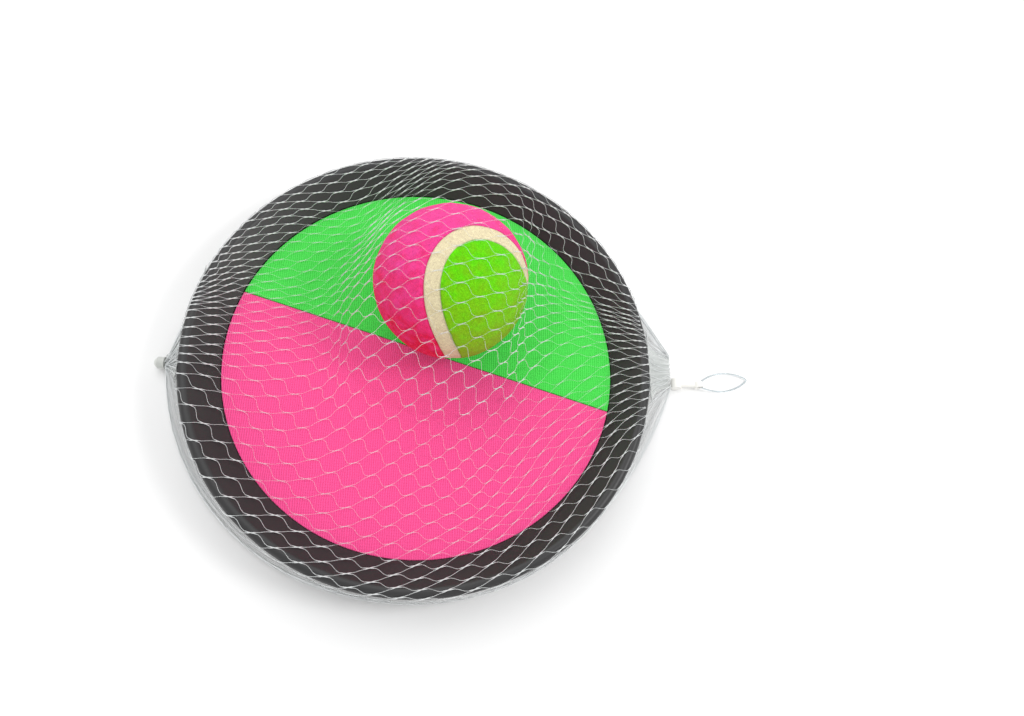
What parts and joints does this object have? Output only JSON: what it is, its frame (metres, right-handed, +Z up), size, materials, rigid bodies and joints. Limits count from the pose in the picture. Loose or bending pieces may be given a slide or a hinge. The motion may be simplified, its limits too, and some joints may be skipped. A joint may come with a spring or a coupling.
{
  "type": "hook and loop catch target set",
  "caption": "Dished hand paddle with a two-colour pile face, a felt ball that sticks to it, and the net bag with a hang loop that holds both.",
  "frame": {"origin": "on the paddle's axis, on the surface that the bag lies on", "axes": "+Z up along the paddle's axis, +X along the bag to the hang loop"},
  "size_m": [0.2615, 0.195, 0.079],
  "materials": {
    "black_plastic": "satin moulded",
    "glue_film": "clear adhesive",
    "pile_pink": "short loop pile",
    "pile_green": "short loop pile",
    "webbing": "woven nylon webbing",
    "hook_tape": "hook tape",
    "loop_tape": "loop tape",
    "core_rubber": "matte",
    "felt_pink": "felt",
    "felt_green": "felt",
    "seam_white": "matte",
    "net_plastic": "translucent netting",
    "seal_plastic": "melted plastic",
    "clip_plastic": "white moulded",
    "loop_plastic": "clear"
  },
  "bodies": {
    "paddle_and_bag": {"dish": "black_plastic", "glue_film": "glue_film", "face_pink": "pile_pink", "face_green": "pile_green", "hand_strap": "webbing", "strap_hook_tape": "hook_tape", "strap_loop_tape": "loop_tape", "net_upper": "net_plastic", "net_under": "net_plastic", "net_gather_loop_end": "net_plastic", "net_gather_seal_end": "net_plastic", "end_seal": "seal_plastic"},
    "ball": {"ball_core_lower": "core_rubber", "ball_core_upper": "core_rubber", "ball_felt_pink": "felt_pink", "ball_felt_green": "felt_green", "ball_seam": "seam_white"},
    "clip": {"hang_clip": "clip_plastic"},
    "loop": {"hang_loop": "loop_plastic"}
  },
  "joints": [
    {"name": "ball_pull", "type": "slide", "parent": "paddle_and_bag", "child": "ball", "axis": [0, 0, 1], "range_m": [0, 0.02], "deforming": ["net_upper"]},
    {"name": "clip_lift", "type": "hinge", "parent": "paddle_and_bag", "child": "clip", "pos_m": [0.115, 0.002, 0.0025], "axis": [0, -1, 0], "range_deg": [0, 70]},
    {"name": "loop_swing", "type": "hinge", "parent": "clip", "child": "loop", "pos_m": [0.1255, 0.002, 0.0025], "axis": [0.1908, -0.9816, 0], "range_deg": [-60, 70]}
  ]
}
